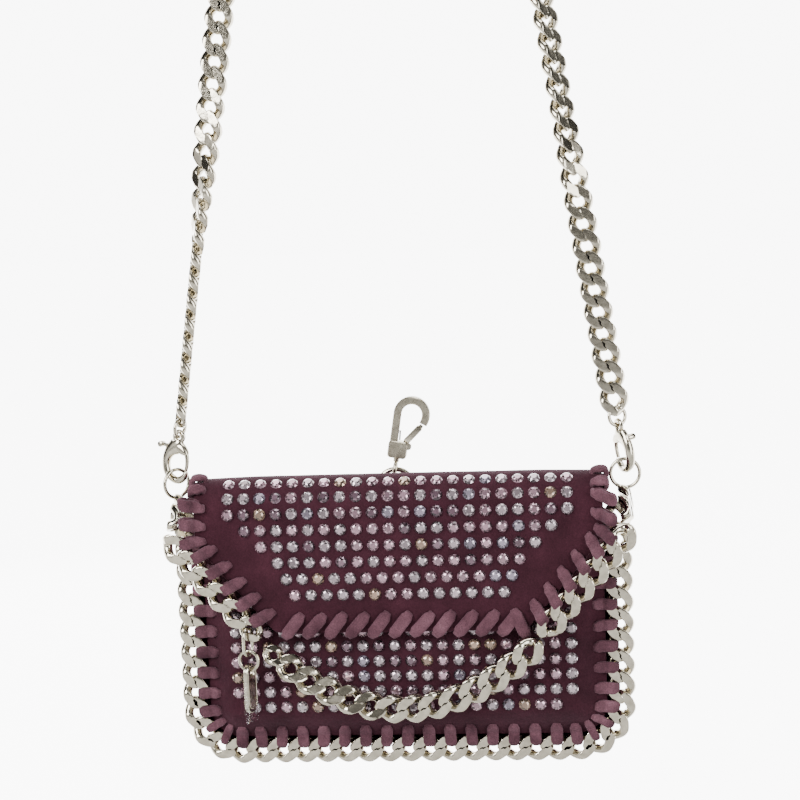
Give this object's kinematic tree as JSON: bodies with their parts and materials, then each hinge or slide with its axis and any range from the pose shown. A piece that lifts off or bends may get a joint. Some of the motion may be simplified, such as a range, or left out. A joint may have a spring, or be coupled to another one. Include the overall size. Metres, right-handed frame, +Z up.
{
  "type": "chain wallet",
  "caption": "Small suede flap wallet, whip-laced onto curb chain with rhinestones, a chain swag, a snap hook and a charm, hanging from a clasped chain strap.",
  "frame": {"origin": "the point under the top of the strap's arch, where a hook, peg or hand holds the strap up", "axes": "+X to the wallet's right as seen from the front, -Y out of its front, +Z up"},
  "size_m": [0.1445, 0.0328, 0.2929],
  "materials": {
    "suede": "plum faux suede, matte nap",
    "lining": "plum cotton twill",
    "lace": "mauve flat suede lace",
    "stone": "faceted flat-back glass stones",
    "silver": "polished nickel plate",
    "dark_steel": "dark spring steel",
    "film": "clear plastic film"
  },
  "bodies": {
    "strap": {"clasp_left": "silver", "clasp_left_pin": "silver", "clasp_left_spring": "dark_steel", "clasp_left_jump_ring": "silver", "clasp_right": "silver", "clasp_right_pin": "silver", "clasp_right_spring": "dark_steel", "clasp_right_jump_ring": "silver", "strap_left": "silver", "strap_right": "silver", "strap_arch": "silver"},
    "left_lever": {"clasp_left_lever": "silver"},
    "right_lever": {"clasp_right_lever": "silver"},
    "wallet": {"front_panel": "suede", "front_lining": "lining", "back_panel": "suede", "back_lining": "lining", "card_pocket": "lining", "snap_socket": "silver", "snap_socket_washer": "silver", "front_stones": "stone", "edge_chain": "silver", "edge_lacing": "lace", "corner_ring_left": "silver", "corner_ring_right": "silver", "corner_links_left": "silver", "corner_links_right": "silver", "key_tab": "suede", "key_tab_rivet": "silver"},
    "flap": {"flap": "suede", "flap_lining": "lining", "snap_stud": "silver", "flap_stones": "stone", "flap_chain_left": "silver", "flap_chain_right": "silver", "flap_side_lacing": "lace", "flap_bottom_lacing": "lace"},
    "swag": {"swag_chain": "silver"},
    "pendant": {"pendant_link": "silver"},
    "charm": {"pendant_ring": "silver", "charm_tag": "silver", "charm_film": "film"},
    "key_ring": {"key_ring": "silver"},
    "hook_eye": {"hook_swivel": "dark_steel"},
    "key_hook": {"key_hook": "silver", "hook_rivet": "silver", "hook_spring": "dark_steel"},
    "hook_gate": {"hook_gate": "silver"}
  },
  "joints": [
    {"name": "wallet_swing", "type": "hinge", "parent": "strap", "child": "wallet", "pos_m": [0, 0, -0.19319], "axis": [1, 0, 0], "range_deg": [-20, 20]},
    {"name": "flap_open", "type": "hinge", "parent": "wallet", "child": "flap", "pos_m": [0, -0.001, -0.20589], "axis": [-1, 0, 0], "range_deg": [0, 75]},
    {"name": "swag_swing", "type": "hinge", "parent": "flap", "child": "swag", "pos_m": [0, -0.0143, -0.24579], "axis": [-1, 0, 0], "range_deg": [0, 60]},
    {"name": "pendant_swing", "type": "hinge", "parent": "flap", "child": "pendant", "pos_m": [-0.045, -0.0151, -0.23879], "axis": [-1, 0, 0], "range_deg": [0, 10]},
    {"name": "charm_swing", "type": "hinge", "parent": "pendant", "child": "charm", "pos_m": [-0.045, -0.0151, -0.24549], "axis": [0, 1, 0], "range_deg": [-20, 20]},
    {"name": "key_ring_tilt", "type": "hinge", "parent": "wallet", "child": "key_ring", "pos_m": [-0.002, 0.0116, -0.20609], "axis": [-1, 0, 0], "range_deg": [0, 60]},
    {"name": "hook_eye_tilt", "type": "hinge", "parent": "key_ring", "child": "hook_eye", "pos_m": [-0.002, 0.0116, -0.19639], "axis": [-1, 0, 0], "range_deg": [0, 60]},
    {"name": "hook_swivel", "type": "hinge", "parent": "hook_eye", "child": "key_hook", "pos_m": [-0.00131, 0.0116, -0.19245], "axis": [0.1736, 0, 0.9848], "continuous": true},
    {"name": "hook_gate", "type": "hinge", "parent": "key_hook", "child": "hook_gate", "pos_m": [0.00045, 0.0116, -0.18941], "axis": [0, -1, 0], "range_deg": [0, 20], "stiffness_Nm_per_rad": 0.01, "springref_deg": -5.73},
    {"name": "left_lever", "type": "hinge", "parent": "strap", "child": "left_lever", "pos_m": [-0.06651, 0.00022, -0.18629], "axis": [0.3704, 0.9272, -0.0562], "range_deg": [0, 15], "stiffness_Nm_per_rad": 0.01, "springref_deg": -5.73},
    {"name": "right_lever", "type": "hinge", "parent": "strap", "child": "right_lever", "pos_m": [0.06626, -0.00052, -0.18633], "axis": [-0.8562, -0.5, -0.1299], "range_deg": [0, 15], "stiffness_Nm_per_rad": 0.01, "springref_deg": -5.73}
  ]
}
